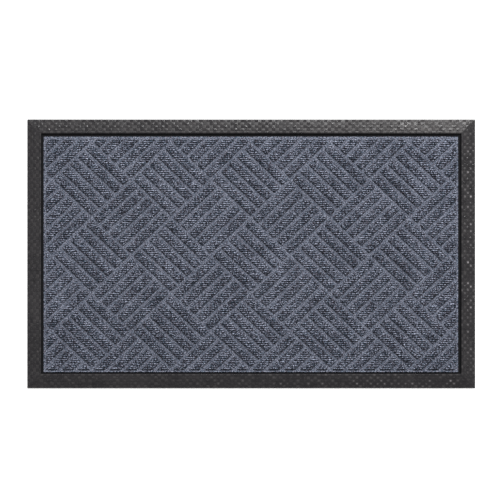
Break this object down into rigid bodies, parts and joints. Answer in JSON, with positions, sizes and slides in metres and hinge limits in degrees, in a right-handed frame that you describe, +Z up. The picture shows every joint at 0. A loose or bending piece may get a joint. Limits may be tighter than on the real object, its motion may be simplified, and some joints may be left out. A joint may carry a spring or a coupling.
{
  "type": "door mat",
  "caption": "Rectangular rubber-backed entrance mat: needle-punched carpet pressed into parquet blocks of raised bars, set in a bevelled moulded rubber border.",
  "frame": {"origin": "on the ground plane, under the middle of the mat's outline", "axes": "+Z up out of the carpet face, +X along the long side, +Y along the short side"},
  "size_m": [0.75, 0.45, 0.008],
  "materials": {
    "moulded_rubber": "black moulded rubber, satin, with a fine embossed basket texture on the bevel",
    "woven_scrim": "dark woven polypropylene tape, hidden under the carpet",
    "needle_punched_fibre": "blue-grey needle-punched polypropylene, ribbed on the bars and pressed smooth and paler in the channels"
  },
  "bodies": {
    "root": {"rubber_tray": "moulded_rubber", "backing_scrim": "woven_scrim", "carpet_face": "needle_punched_fibre"}
  },
  "joints": []
}
